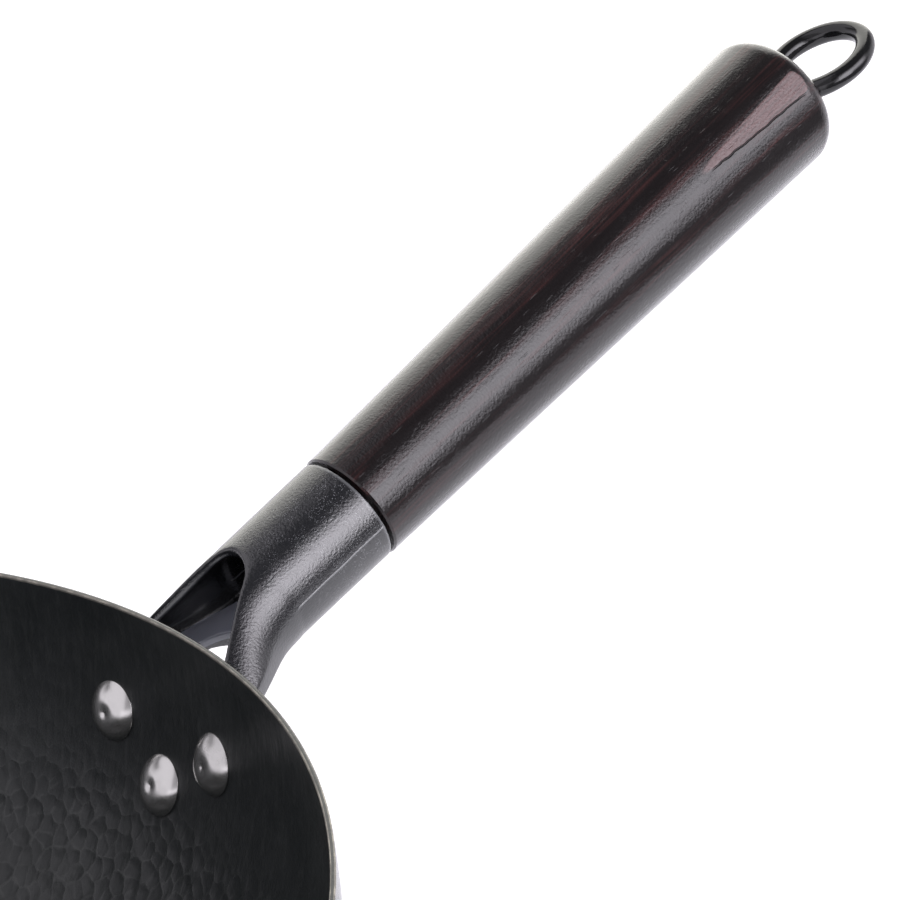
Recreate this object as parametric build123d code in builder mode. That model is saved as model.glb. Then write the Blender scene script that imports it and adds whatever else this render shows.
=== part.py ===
from build123d import *
from math import asin, atan2, cos, degrees, radians, sin, sqrt
import os

# A carbon steel wok: a spun bowl, a black steel bracket on three rivets, a stained wood grip,
# and a wire eye whose long shank draws the grip into the bracket.
# The origin is the middle of the flat base, +Z is up and the handle points toward +X.

# Bowl
rim_radius = 160.0
wok_depth = 92.0
bowl_wall = 1.1
lip_height = 4.5
upper_wall_radius = 76.5
upper_wall_lean = 35.0
rim_rounding = 0.35

# Rivets
rivet_head_radius = 6.35
rivet_head_height = 2.6
rivet_head_edge = 0.5
rivet_shank_radius = 2.5
shop_head_radius = 4.5
shop_head_height = 2.2
shop_head_rounding = 0.9
upper_rivet_drop = 24.0
upper_rivet_side = 17.6
lower_rivet_drop = 34.1

# Bracket
bracket_reach = 48.4
joint_rise = 5.6
handle_tilt = 20.6
tube_radius = 12.6
tube_bore_radius = 9.6
socket_depth = 15.0
cross_wall = 3.0
nut_pocket_depth = 9.5
bracket_sheet = 2.0
channel_drop = 5.6
wall_overlap = 8.3
apron_sheet = 2.2
apron_margin = 9.0

# Grip
grip_length = 147.6
grip_front_radius = 12.8
grip_end_radius = 16.7
grip_end_rounding = 5.2
shoulder_chamfer = 0.4
joint_gap = 0.9

# Eye and nut
wire_radius = 2.3
eye_half_width = 10.6
eye_half_length = 12.2
eye_tip_radius = 9.4
eye_stand_off = 0.75
eye_offset = 1.2
nut_across_flats = 8.0
nut_thickness = 4.0
nut_end_thread = 1.2

# Fits
seat_gap = 0.1
shank_clearance = 0.1
tenon_clearance = 0.15
rod_clearance = 0.3
thread_clearance = 0.05
overrun = 6.0

# Stations of the bracket, from a round tube at the grip to a flared channel at the bowl: distance
# from the joint as a share of the bracket's length, then shares of the tube's radius for the half
# width, the top, the drop of the side crease, the lower corner's half width and drop and the
# belly's drop, and the flank's bulge as a share of its chord.
tube_shares = (
    (0.000, 1.000, 1.000, 0.000, 0.707, 0.707, 1.000, 0.0995),
    (0.217, 0.988, 1.000, 0.000, 0.699, 0.690, 0.976, 0.0995),
    (0.433, 0.982, 1.000, 0.010, 0.690, 0.680, 0.950, 0.0995),
)
channel_shares = (
    tube_shares[-1],
    (0.517, 1.045, 0.985, 0.060, 0.860, 0.575, 0.800, 0.0600),
    (0.600, 1.185, 0.945, 0.096, 1.110, 0.465, 0.600, 0.0300),
    (0.688, 1.420, 0.840, 0.124, 1.335, 0.444, 0.500, 0.0200),
    (0.780, 1.610, 0.700, 0.140, 1.512, 0.444, 0.470, 0.0200),
    (0.867, 1.790, 0.545, 0.151, 1.680, 0.444, 0.460, 0.0200),
    (1.000, 2.060, 0.310, 0.160, 1.940, 0.444, 0.455, 0.0200),
)
# A point on the rivet heads' domed outline, as shares of the head's height and radius.
dome_height_share = 0.82
dome_side_share = 0.71
# The slot on top, as shares of the channel's length and of the tube's radius.
slot_tip_share = 0.440
slot_arc_shares = (0.508, 0.510)
slot_side_shares = ((0.577, 0.663), (0.688, 0.913), (0.867, 1.310), (1.050, 1.730))
# The arch in the channel's floor, in the same shares.
arch_tip_share = 0.575
arch_width_share = 0.873

# The bowl's two tangent wall arcs
lean = radians(upper_wall_lean)
upper_centre_reach = rim_radius - upper_wall_radius
upper_centre_rise = wok_depth - lip_height
lower_arc_rise = upper_centre_rise - upper_wall_radius * sin(lean)
lower_wall_radius = lower_arc_rise / (1 - sin(lean))
base_radius = upper_centre_reach + (upper_wall_radius - lower_wall_radius) * cos(lean)

# The handle's axis, from the joint between bracket and grip outward
tilt = radians(handle_tilt)
handle_direction = Vector(cos(tilt), 0, sin(tilt))
handle_up = Vector(-sin(tilt), 0, cos(tilt))
joint_centre = Vector(rim_radius + bracket_reach, 0, wok_depth + joint_rise)
across_handle = Plane(joint_centre, x_dir=(0, 1, 0), z_dir=handle_direction)
above_handle = Plane(joint_centre, x_dir=handle_direction, z_dir=handle_up)
beside_handle = Plane(joint_centre, x_dir=handle_direction, z_dir=(0, -1, 0))
handle_axis = Axis(joint_centre, handle_direction)
channel_length = bracket_reach / cos(tilt) + wall_overlap


def wall_outline(growth, top):
    """Half section of the space inside the bowl's outer face, grown outward by a distance."""
    with BuildLine() as outline:
        Line((0, -growth), (base_radius, -growth))
        CenterArc(
            (base_radius, lower_wall_radius),
            lower_wall_radius + growth,
            -90,
            90 - upper_wall_lean,
        )
        CenterArc(
            (upper_centre_reach, upper_centre_rise),
            upper_wall_radius + growth,
            -upper_wall_lean,
            upper_wall_lean,
        )
        Polyline(
            (rim_radius + growth, upper_centre_rise),
            (rim_radius + growth, top),
            (0, top),
            (0, -growth),
        )
    make_face(outline.edges())


def rivet_plane(drop, side):
    """Plane on the bowl's inner face, with its Z along the wall's outward normal."""
    inner_radius = upper_wall_radius - bowl_wall
    slope = asin((drop - lip_height) / inner_radius)
    reach = upper_centre_reach + inner_radius * cos(slope)
    turn = asin(side / reach)
    normal = Vector(cos(slope) * cos(turn), cos(slope) * sin(turn), -sin(slope))
    tangent = Vector(-sin(turn), cos(turn), 0)
    return Plane((reach * cos(turn), side, wok_depth - drop), x_dir=tangent, z_dir=normal)


rivet_places = {
    "rivet_left": rivet_plane(upper_rivet_drop, upper_rivet_side),
    "rivet_right": rivet_plane(upper_rivet_drop, -upper_rivet_side),
    "rivet_lower": rivet_plane(lower_rivet_drop, 0),
}
grip_stack = bowl_wall + seat_gap + apron_sheet
shop_head_end = grip_stack + shop_head_height


def bulged(start, end, share):
    """A point beside the middle of a chord, to the right of its run, by a share of its length."""
    run_y, run_z = end[0] - start[0], end[1] - start[1]
    return ((start[0] + end[0]) / 2 + share * run_z, (start[1] + end[1]) / 2 - share * run_y)


def outer_sections(stations):
    """The bracket's outer sections on their planes."""
    sections = []
    for along, width, top, crease, corner, drop, belly, bulge in stations:
        side = (width * tube_radius, -crease * tube_radius)
        foot = (corner * tube_radius, -drop * tube_radius)
        far_side, far_foot = (-side[0], side[1]), (-foot[0], foot[1])
        with BuildSketch(across_handle.offset(-along * channel_length)) as section:
            with BuildLine() as outline:
                ThreePointArc(far_side, (0, top * tube_radius), side)
                ThreePointArc(side, bulged(foot, side, bulge), foot)
                ThreePointArc(foot, (0, -belly * tube_radius), far_foot)
                ThreePointArc(far_foot, bulged(far_side, far_foot, bulge), far_side)
            make_face(outline.edges())
        sections.append(section.sketch)
    return sections


def hollow_sections(stations):
    """The channel's inner sections, a sheet's thickness inside the outer ones, with a flat floor."""
    sections = []
    for along, width, top, crease, *_ in stations:
        side = (width * tube_radius - bracket_sheet, -crease * tube_radius)
        foot = (side[0] - bracket_sheet / 2, bracket_sheet - channel_drop)
        with BuildSketch(across_handle.offset(-along * channel_length)) as section:
            with BuildLine() as outline:
                ThreePointArc(
                    (-side[0], side[1]),
                    (0, top * tube_radius - bracket_sheet),
                    side,
                )
                Polyline(side, foot, (-foot[0], foot[1]), (-side[0], side[1]))
            make_face(outline.edges())
        sections.append(section.sketch)
    return sections


# The space inside the bowl, which trims the rivets' heads to the wall
with BuildPart() as bowl_space:
    with BuildSketch(Plane.XZ):
        wall_outline(-bowl_wall, wok_depth + overrun)
    revolve(axis=Axis.Z)

# Bowl: spun sheet with a flat base and a straight lip
with BuildPart() as bowl:
    with BuildSketch(Plane.XZ):
        wall_outline(0, wok_depth)
    revolve(axis=Axis.Z)
    add(bowl_space.part, mode=Mode.SUBTRACT)
    fillet(
        bowl.edges().filter_by(GeomType.CIRCLE).group_by(Axis.Z)[-1],
        min(rim_rounding, bowl_wall / 3),
    )
    for place in rivet_places.values():
        with BuildSketch(place):
            Circle(rivet_shank_radius + shank_clearance)
        extrude(amount=overrun, both=True, mode=Mode.SUBTRACT)

# Apron: the plate that follows the bowl's wall and takes the three rivets
with BuildPart() as apron:
    with BuildSketch(Plane.XZ):
        wall_outline(seat_gap + apron_sheet, wok_depth)
    revolve(axis=Axis.Z)
    with BuildSketch(Plane.XZ):
        wall_outline(seat_gap, wok_depth + overrun)
    revolve(axis=Axis.Z, mode=Mode.SUBTRACT)
    with BuildSketch(Plane.YZ) as apron_outline:
        with Locations(
            (upper_rivet_side, wok_depth - upper_rivet_drop),
            (-upper_rivet_side, wok_depth - upper_rivet_drop),
            (0, wok_depth - lower_rivet_drop),
        ):
            Circle(apron_margin)
        make_hull()
    extrude(amount=rim_radius + bracket_reach, mode=Mode.INTERSECT)
    for place in rivet_places.values():
        with BuildSketch(place):
            Circle(rivet_shank_radius + shank_clearance)
        extrude(amount=overrun, mode=Mode.SUBTRACT)

# Bracket: a tube for the grip that opens into a flared channel with two legs
with BuildPart() as bracket:
    loft(outer_sections(tube_shares))
    loft(outer_sections(channel_shares))
    loft(hollow_sections(channel_shares), mode=Mode.SUBTRACT)
    with BuildSketch(across_handle):
        Circle(tube_bore_radius)
    extrude(amount=-socket_depth, mode=Mode.SUBTRACT)
    with BuildSketch(across_handle.offset(-socket_depth - cross_wall)):
        Circle(tube_bore_radius)
    extrude(amount=-nut_pocket_depth, mode=Mode.SUBTRACT)
    with BuildSketch(across_handle):
        Circle(wire_radius + rod_clearance)
    extrude(amount=-socket_depth - cross_wall, mode=Mode.SUBTRACT)
    with BuildSketch(above_handle):
        with BuildLine():
            arc_along, arc_side = slot_arc_shares
            tip = ThreePointArc(
                (-arc_along * channel_length, -arc_side * tube_radius),
                (-slot_tip_share * channel_length, 0),
                (-arc_along * channel_length, arc_side * tube_radius),
            )
            side_points = [
                (-along * channel_length, side * tube_radius) for along, side in slot_side_shares
            ]
            far_side = Spline(tip @ 1, *side_points)
            near_side = Spline(tip @ 0, *[(along, -side) for along, side in side_points])
            Line(far_side @ 1, near_side @ 1)
        make_face()
    extrude(amount=tube_radius + overrun, mode=Mode.SUBTRACT)
    with BuildSketch(above_handle):
        with Locations((-channel_length, 0)):
            Ellipse((1 - arch_tip_share) * channel_length, arch_width_share * tube_radius)
    extrude(amount=-channel_drop - overrun, mode=Mode.SUBTRACT)
    with BuildSketch(Plane.XZ):
        wall_outline(seat_gap, wok_depth + joint_rise + tube_radius)
    revolve(axis=Axis.Z, mode=Mode.SUBTRACT)
    add(apron.part)

# Rivets: a domed head inside the bowl and a smaller set head on the apron
rivets = {}
for name, place in rivet_places.items():
    head_plane = Plane(place.origin, x_dir=place.z_dir, z_dir=place.x_dir)
    rivet_axis = Axis(place.origin, place.z_dir)
    with BuildPart() as rivet:
        with BuildSketch(head_plane):
            with BuildLine():
                dome = ThreePointArc(
                    (-rivet_head_height, 0),
                    (-dome_height_share * rivet_head_height, dome_side_share * rivet_head_radius),
                    (-rivet_head_edge, rivet_head_radius),
                )
                Polyline(
                    dome @ 1,
                    (bowl_wall, rivet_head_radius),
                    (bowl_wall, 0),
                    dome @ 0,
                )
            make_face()
        revolve(axis=rivet_axis)
        add(bowl_space.part, mode=Mode.INTERSECT)
        with BuildSketch(head_plane):
            with BuildLine():
                rounding_start = (shop_head_end - shop_head_rounding, shop_head_radius)
                Polyline(
                    (-rivet_head_height / 2, 0),
                    (-rivet_head_height / 2, rivet_shank_radius),
                    (grip_stack, rivet_shank_radius),
                    (grip_stack, shop_head_radius),
                    rounding_start,
                )
                RadiusArc(
                    rounding_start,
                    (shop_head_end, shop_head_radius - shop_head_rounding),
                    shop_head_rounding,
                )
                Polyline(
                    (shop_head_end, shop_head_radius - shop_head_rounding),
                    (shop_head_end, 0),
                    (-rivet_head_height / 2, 0),
                )
            make_face()
        revolve(axis=rivet_axis)
    rivets[name] = rivet

# Grip: turned wood, bored for the rod, with a tenon in the bracket's tube
eye_arc_height = eye_stand_off + eye_tip_radius
eye_reach = sqrt((eye_tip_radius + wire_radius) ** 2 - eye_arc_height**2)
eye_seat_radius = eye_reach + eye_offset + rod_clearance
eye_seat_depth = wire_radius - eye_stand_off
with BuildPart() as grip:
    with BuildSketch(beside_handle):
        with BuildLine():
            Polyline(
                (-socket_depth, wire_radius + rod_clearance),
                (-socket_depth, tube_bore_radius - tenon_clearance),
                (joint_gap, tube_bore_radius - tenon_clearance),
                (joint_gap, grip_front_radius),
                (grip_length, grip_end_radius),
                (grip_length, eye_seat_radius),
                (grip_length - eye_seat_depth, eye_seat_radius),
                (grip_length - eye_seat_depth, wire_radius + rod_clearance),
                (-socket_depth, wire_radius + rod_clearance),
            )
        make_face()
    revolve(axis=handle_axis)
    round_edges = grip.edges().filter_by(GeomType.CIRCLE).sort_by(SortBy.RADIUS)
    fillet(round_edges[-1], grip_end_rounding)
    chamfer(
        grip.edges().filter_by(GeomType.CIRCLE).filter_by(
            lambda edge: abs(edge.radius - grip_front_radius) < shoulder_chamfer / 2
        ),
        shoulder_chamfer,
    )

# Eye rod: a wire oval at the grip's end, in one with the shank that takes the nut
# The oval is four tangent arcs: two at its tips and two wider ones along its sides.
eye_centre = grip_length + eye_stand_off + eye_half_length
tip_reach = eye_half_length - eye_tip_radius
side_radius = (tip_reach**2 + eye_half_width**2 - eye_tip_radius**2) / (
    2 * (eye_half_width - eye_tip_radius)
)
side_rise = side_radius - eye_half_width
tip_turn = degrees(atan2(side_rise, tip_reach))
side_turn = 180 - 2 * tip_turn
rod_tail = socket_depth + cross_wall + nut_thickness + nut_end_thread
with BuildPart() as eye_rod:
    with BuildLine(above_handle):
        far_tip = (eye_centre + tip_reach, -eye_offset)
        near_tip = (eye_centre - tip_reach, -eye_offset)
        CenterArc(far_tip, eye_tip_radius, 0, -tip_turn)
        CenterArc((eye_centre, side_rise - eye_offset), side_radius, -tip_turn, -side_turn)
        CenterArc(near_tip, eye_tip_radius, 180 + tip_turn, -2 * tip_turn)
        CenterArc((eye_centre, -side_rise - eye_offset), side_radius, 180 - tip_turn, -side_turn)
        CenterArc(far_tip, eye_tip_radius, tip_turn, -tip_turn)
    with BuildSketch(beside_handle.offset(eye_offset)):
        with Locations((eye_centre + eye_half_length, 0)):
            Circle(wire_radius)
    sweep()
    with BuildSketch(across_handle.offset(-rod_tail)):
        Circle(wire_radius)
    extrude(amount=rod_tail + grip_length + eye_stand_off)

# Nut: hexagonal, against the bracket's cross wall
with BuildPart() as tie_nut:
    with BuildSketch(across_handle.offset(-socket_depth - cross_wall)):
        RegularPolygon(nut_across_flats / 2, 6, major_radius=False)
        Circle(wire_radius + thread_clearance, mode=Mode.SUBTRACT)
    extrude(amount=-nut_thickness)

os.makedirs("parts", exist_ok=True)
pieces = {"bowl": bowl, "bracket": bracket, "grip": grip, "eye_rod": eye_rod, "tie_nut": tie_nut}
pieces.update(rivets)
for name, piece in pieces.items():
    piece.part.label = name
    export_step(piece.part, f"parts/{name}.step")
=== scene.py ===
import math

import bpy
from bpy.props import FloatProperty, FloatVectorProperty, IntProperty, PointerProperty
from mathutils import Euler, Matrix, Vector, noise


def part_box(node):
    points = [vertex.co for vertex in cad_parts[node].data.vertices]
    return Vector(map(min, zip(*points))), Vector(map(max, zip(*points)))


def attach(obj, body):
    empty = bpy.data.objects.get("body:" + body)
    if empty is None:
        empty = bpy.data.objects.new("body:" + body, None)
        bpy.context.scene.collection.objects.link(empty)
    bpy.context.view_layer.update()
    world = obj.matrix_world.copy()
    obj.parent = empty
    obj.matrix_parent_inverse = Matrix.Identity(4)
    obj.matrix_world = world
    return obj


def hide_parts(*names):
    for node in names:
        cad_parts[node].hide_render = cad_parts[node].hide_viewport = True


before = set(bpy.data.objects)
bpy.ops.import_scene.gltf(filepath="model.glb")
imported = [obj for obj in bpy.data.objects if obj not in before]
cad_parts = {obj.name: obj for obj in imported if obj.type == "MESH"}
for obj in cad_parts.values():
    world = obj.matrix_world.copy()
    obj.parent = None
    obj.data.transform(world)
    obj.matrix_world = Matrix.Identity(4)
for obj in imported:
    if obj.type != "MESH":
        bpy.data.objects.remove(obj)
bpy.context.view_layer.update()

# The looks of a carbon steel wok with a riveted bracket, a stained wood grip and a wire eye.
# Everything is in metres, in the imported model's frame: the origin is the middle of the flat base,
# +Z is up and the handle points toward +X.
bl_info = {
    "name": "Carbon Steel Wok",
    "version": (1, 0, 0),
    "blender": (4, 5, 0),
    "location": "3D View > Sidebar > Wok",
    "description": "Models the bowl, bracket, rivets, grip and eye of a wok on its packed frame",
    "category": "Add Mesh",
}

_, bowl_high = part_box("bowl")
MILLIMETRE = 0.001
FULL_TURN = 2 * math.pi

# The handle's own axes: its Z runs from the joint between bracket and grip to the eye, its X
# points down and its Y stays level.
HANDLE_TILT = math.radians(20.6)
JOINT = Vector((bowl_high.x + 0.0484, 0, bowl_high.z + 0.0056))
HANDLE_TURN = Euler((0, math.pi / 2 - HANDLE_TILT, 0))
HANDLE_PLACE = Matrix.LocRotScale(JOINT, HANDLE_TURN, None)

# The camera's place and turn, found from the rim, the grip and the eye
CAMERA_PLACE = (-0.07707, -0.40397, 0.32058)
CAMERA_TURN_DEGREES = (66.558, 6.8401, -40.8602)
CAMERA_LENS = 104.14
CAMERA_SENSOR = 36
CAMERA_NEAR = 0.01

# The glow of the floor's paper as the glossy pieces mirror it
COOL_WHITE = (0.88, 0.88, 1.0)

# The direction, turned from +X, that the room's panels are measured from
ROOM_TURN = math.radians(30)

# Panels of the room: their sides and heights and the softness of their edges, all in degrees. The
# bright ones add the setting that gives their brightness, and the share of it that they take.
WINDOW_PANEL = ((-8, 55), (-20, 57), 1.5)
FRONT_PANEL = ((-150, -56), (-89, 12), 8)
BRIGHT_PANELS = (
    ((62, 190), (36, 84), 3, "cloth_strength", 1.0),
    ((98, 190), (-10, 40), 3, "cloth_strength", 1.0),
    ((-134, -72), (8, 42), 13, "strip_strength", 1.0),
    ((-134, -101), (-2, 35), 8, "strip_strength", 1.25),
    ((163, 190), (-6, 20), 3, "lamp_strength", 1.0),
    ((-190, -152), (-6, 20), 3, "lamp_strength", 1.0),
    ((-190, -152), (18, 70), 4, "wall_strength", 1.0),
)
CEILING_START, CEILING_END = math.radians(8), math.radians(35)
FLOOR_SIDE = 0.2
FLOOR_GLOW = 0.45

# Faces round each turned piece, each hole and the floor, and the sharpest edges, in degrees, that
# are still shaded smooth on turned and on coated pieces
BOWL_STEPS, GRIP_STEPS, RIVET_STEPS, HOLE_STEPS, FLOOR_STEPS = 480, 288, 128, 48, 96
TURNED_EDGE, COATED_EDGE = 40, 60

# How long the bit for the rivets' holes is, and how near two vertices are when they are merged
DRILL_LENGTH = 20 * MILLIMETRE
WELD = 0.001 * MILLIMETRE

# Steps along the outlines: the bowl's base and two arcs outside and inside, the rim's edges, the
# roundings of a rivet, and the side, the edge and the face of the grip's end
OUTER_BASE_STEPS, OUTER_ARC_STEPS = 10, (20, 12)
INNER_BASE_STEPS, INNER_ARC_STEPS = 40, (76, 32)
RIM_EDGE_STEPS = 4
DOME_STEPS, HEAD_CORNER_STEPS, SET_HEAD_STEPS = 20, 4, 6
GRIP_SIDE_STEPS, GRIP_EDGE_STEPS, GRIP_FACE_STEPS = 268, 16, 6

# A point of the rivet head's arc, as shares of its radius and height, and the rounding of its edge
DOME_RADIUS_SHARE, DOME_HEIGHT_SHARE = 0.71, 0.82
HEAD_CORNER = 0.2 * MILLIMETRE

# How far the rim's wear reaches down, in rim roundings, and the share of that it reaches inward
WEAR_DOWN, WEAR_INWARD = 1.2, 0.6

# How fast the streaks change up the wall, as a share of how fast they do round it, and the depths in
# the sheet, as shares of its thickness, up to which it is outside and from which it is inside
STREAK_LENGTH_SHARE = 0.22
OUTSIDE_DEPTH, INSIDE_DEPTH = 0.4, 0.6

# How many features of a finish lie along a metre
MARK_SWIRLS = 280.0
SPECK_DRIFTS = 260.0
SMUDGES = 70.0
SCRATCHES = ((900.0, 60.0, 300.0), (80.0, 700.0, 500.0))
SCRATCHED_PATCHES = 190.0
RUBBED_PATCHES = 240.0
WALL_STREAKS = 620.0
WALL_CLOUDS = 38.0
LINE_WAVES = 200.0
CRACK_WAVES = 260.0
STEEL_GRAINS, RIVET_GRAINS, ENAMEL_GRAINS, ZINC_GRAINS = 1800.0, 2600.0, 900.0, 1500.0

# The same for the wood, across the grip both ways and then along it
WOOD_WARP = (120, 120, 14)
WOOD_FIGURE = (330, 330, 9)
WOOD_FIBRES = (2100, 2100, 55)
WOOD_PORES = (2900, 2900, 160)
WOOD_CRINKLE = (1300, 1300, 1900)

# Hand-finished ripples on the grip: features across and along it, and the share of their height.
# The middle and the span bring their sum to a height, and the margin keeps them off the tenon.
RIPPLES = ((150, 28, 1.0), (520, 60, 0.5))
RIPPLE_MIDDLE, RIPPLE_SPAN = 0.75, 1.5
RIPPLE_START = 4 * MILLIMETRE
TENON_MARGIN = 1.05

# Lengths of wall from the middle of the bowl over which its use stops showing
USED_WALL = (0.176, 0.138)

# The hammer marks, in shares of their size: how far they are swirled, how uneven they lie, and how
# far it is from a mark's middle to its ridge
DENT_SWIRL, DENT_UNEVENNESS, RIDGE_DISTANCE = 0.55, 0.9, 0.70

# How much worn colour the steel takes from use, clouds and streaks, how much the marks' ridges take
# as wear and painted highlight, and how much the ridges and the outside are polished
WEAR_BY_USE, WEAR_BY_CLOUDS, WEAR_BY_STREAKS, WEAR_AND_HIGHLIGHT_ON_RIDGES = 0.24, 0.14, 0.10, 0.42
RIDGE_POLISH, OUTSIDE_POLISH = 0.08, 0.72

# How rough each finish is, from where it is smoothest to where it is dullest
STEEL_ROUGHNESS = (0.38, 0.47)
COAT_ROUGHNESS = (0.15, 0.21)
RIVET_ROUGHNESS = (0.22, 0.30)
WOOD_ROUGHNESS = (0.34, 0.48)
ENAMEL_ROUGHNESS = (0.12, 0.22)
ZINC_ROUGHNESS = (0.30, 0.50)

# Where marks on the bracket start and are full, in the handle's own axes. The parting line and the
# tube's rim carry painted highlights, and the channel's floor carries painted light.
PARTING_START = (-0.027, -0.024)
PARTING_WIDTH = (0.00028, 0.00005)
SPECKED_TUBE = (-0.031, -0.012)
PAINTED_RIM_HIGHLIGHT = (-0.0010, -0.0004)
WEB_TOP = (0.0031, 0.0034)
WEB_UNDERSIDE = (0.0055, 0.0052)
WEB_START = (-0.024, -0.028)
WEB_SIDES = (-0.0044, -0.0050)
WEB_SPREAD = 0.46

# Where the channel's upper edges start to be softened, and the lengths over which that comes in
CHANNEL_START, CHANNEL_RUN_IN = -20 * MILLIMETRE, 4 * MILLIMETRE
CHANNEL_TOP, CHANNEL_TOP_RUN_IN = 2.5 * MILLIMETRE, 2 * MILLIMETRE

# How near its plane the wood counts as the planed flat, and the lengths over which the flat comes in
FLAT_EDGE = (0.00005, 0.00001)
FLAT_RUN_IN = (-0.001, 0.002)

# The crack beside the planed flat: where it starts and ends along the grip, and the line it takes,
# which is given by one point, its slant and how far it wanders
CRACK_START = (0.110, 0.114)
CRACK_END = (0.1425, 0.139)
CRACK_MIDDLE, CRACK_SLANT, CRACK_SIDE = 0.1124, 0.067, 0.00105
CRACK_WANDER = 0.0010
CRACK_WIDTH = (0.00030, 0.00008)


def length(name, description, default):
    """A size that the panel shows, in the scene's unit of length."""
    return FloatProperty(
        name=name, description=description, default=default, unit="LENGTH", precision=5
    )


def angle(name, description, degrees):
    """An angle that the panel shows."""
    return FloatProperty(
        name=name, description=description, default=math.radians(degrees), subtype="ANGLE"
    )


def colour(name, description, default):
    """A colour that the panel shows."""
    return FloatVectorProperty(
        name=name, description=description, default=default, subtype="COLOR", min=0, max=1
    )


def share(name, description, default):
    """A plain number that the panel shows."""
    return FloatProperty(name=name, description=description, default=default, precision=4)


class WokBowlSettings(bpy.types.PropertyGroup):
    rim_radius: length("Rim Radius", "Outside radius of the rim", bowl_high.x)
    depth: length("Depth", "Height of the rim above the base", bowl_high.z)
    sheet: length("Sheet", "Thickness of the steel sheet", 0.0011)
    lip: length("Lip", "Height of the straight lip below the rim", 0.0045)
    upper_radius: length("Upper Wall Radius", "Radius of the wall's upper arc", 0.0765)
    upper_lean: angle("Upper Wall Lean", "Angle that the wall's upper arc covers", 35)
    rim_rounding: length("Rim Rounding", "Rounding of the rim's two edges", 0.00036)
    dent_size: length("Dent Size", "Distance between neighbouring hammer marks", 0.0040)
    dent_depth: length("Dent Depth", "Depth of the hammer marks", 0.00023)
    dent_end: length("Dented Wall", "Length of wall from the middle where the marks end", 0.186)
    dent_fade: length("Dent Fade", "Length of wall over which the marks fade", 0.032)
    faint_dents: share("Faint Dents", "Share of the marks' depth that is left near the rim", 0.12)
    steel: colour("Steel", "Colour of the seasoned steel", (0.0105, 0.0130, 0.0135))
    # This colour is also laid on the marks' ridges, where it is partly wear and partly a painted
    # highlight.
    worn_and_highlit_steel: colour("Worn Steel", "Colour of the marks' ridges", (0.070, 0.074, 0.070))
    bare_steel: colour("Bare Steel", "Colour of the rim's rubbed edges", (0.40, 0.38, 0.33))


class WokBracketSettings(bpy.types.PropertyGroup):
    voxel: length("Mesh Size", "Size of the cast surface's faces", 0.00025)
    soft_top_passes: IntProperty(
        name="Soft Top", description="Further smoothing of the channel's upper edges", default=60
    )
    coat: colour("Coat", "Colour of the black coat", (0.0110, 0.0118, 0.0138))
    # The speck colour is also the colour of the painted highlights along the parting line and the
    # tube's rim.
    speck_and_highlight: colour("Specks", "Colour of the bright specks in the coat", (0.26, 0.27, 0.28))
    # The web colour is painted light: the shaded floor of the channel is made pale to stand for the
    # light it reflects.
    web_painted_light: colour("Web", "Colour of the thinner coat on the channel's floor", (0.27, 0.285, 0.34))
    grain: length("Grain", "Size of the coat's grain", 0.00055)


class WokRivetSettings(bpy.types.PropertyGroup):
    head_radius: length("Head Radius", "Radius of the domed head", 0.00635)
    head_height: length("Head Height", "Height of the domed head", 0.0026)
    head_edge: length("Head Edge", "Height of the head's straight edge", 0.0005)
    shank_radius: length("Shank Radius", "Radius of the shank", 0.0025)
    shank_clearance: length("Clearance", "Gap between shank and hole", 0.0001)
    grip_stack: length("Stack", "Thickness of sheet and apron together", 0.0034)
    set_head_radius: length("Set Head Radius", "Radius of the head on the apron", 0.0045)
    set_head_height: length("Set Head Height", "Height of the head on the apron", 0.0022)
    set_head_rounding: length("Set Head Rounding", "Rounding of the head on the apron", 0.0009)
    dome_lean: share("Dome Lean", "Share of its height that a head gains on its lower side", 0.20)
    upper_drop: length("Upper Drop", "Depth of the two upper rivets below the rim", 0.024)
    upper_side: length("Upper Side", "Distance of the upper rivets from the middle", 0.0176)
    lower_drop: length("Lower Drop", "Depth of the lower rivet below the rim", 0.0341)
    steel: colour("Steel", "Colour of the polished steel", (0.74, 0.73, 0.71))


class WokGripSettings(bpy.types.PropertyGroup):
    length: length("Length", "Length of the grip past the joint", 0.1476)
    front_radius: length("Front Radius", "Radius at the joint", 0.0128)
    end_radius: length("End Radius", "Radius at the eye", 0.0167)
    end_rounding: length("End Rounding", "Rounding of the end's edge", 0.0052)
    front_chamfer: length("Front Chamfer", "Chamfer of the front edge", 0.0004)
    joint_gap: length("Joint Gap", "Gap between the bracket and the grip", 0.0009)
    tenon_radius: length("Tenon Radius", "Radius of the tenon in the bracket", 0.00945)
    tenon_length: length("Tenon Length", "Length of the tenon in the bracket", 0.015)
    bore_radius: length("Bore Radius", "Radius of the hole for the rod", 0.0026)
    seat_radius: length("Seat Radius", "Radius of the recess for the eye", 0.00732)
    seat_depth: length("Seat Depth", "Depth of the recess for the eye", 0.00155)
    facet_start: length("Flat Start", "Distance from the joint to the planed flat's tip", 0.108)
    facet_depth: length("Flat Depth", "Depth of the planed flat at the grip's end", 0.00030)
    facet_side: angle("Flat Side", "Side of the grip that the planed flat faces", 145.5)
    ripple: length("Ripple", "Height of the hand-finished ripples", 0.00006)
    dark_wood: colour("Dark Wood", "Colour of the charred wood", (0.0070, 0.0048, 0.0052))
    warm_wood: colour("Warm Wood", "Colour of the wood's reddish grain", (0.055, 0.0180, 0.0175))
    bare_wood: colour("Bare Wood", "Colour of the planed flat", (0.150, 0.076, 0.074))


class WokEyeSettings(bpy.types.PropertyGroup):
    voxel: length("Mesh Size", "Size of the wire surface's faces", 0.00030)
    enamel: colour("Enamel", "Colour of the wire's black enamel", (0.0065, 0.0070, 0.0075))
    zinc: colour("Zinc", "Colour of the hidden nut", (0.42, 0.42, 0.43))


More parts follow.
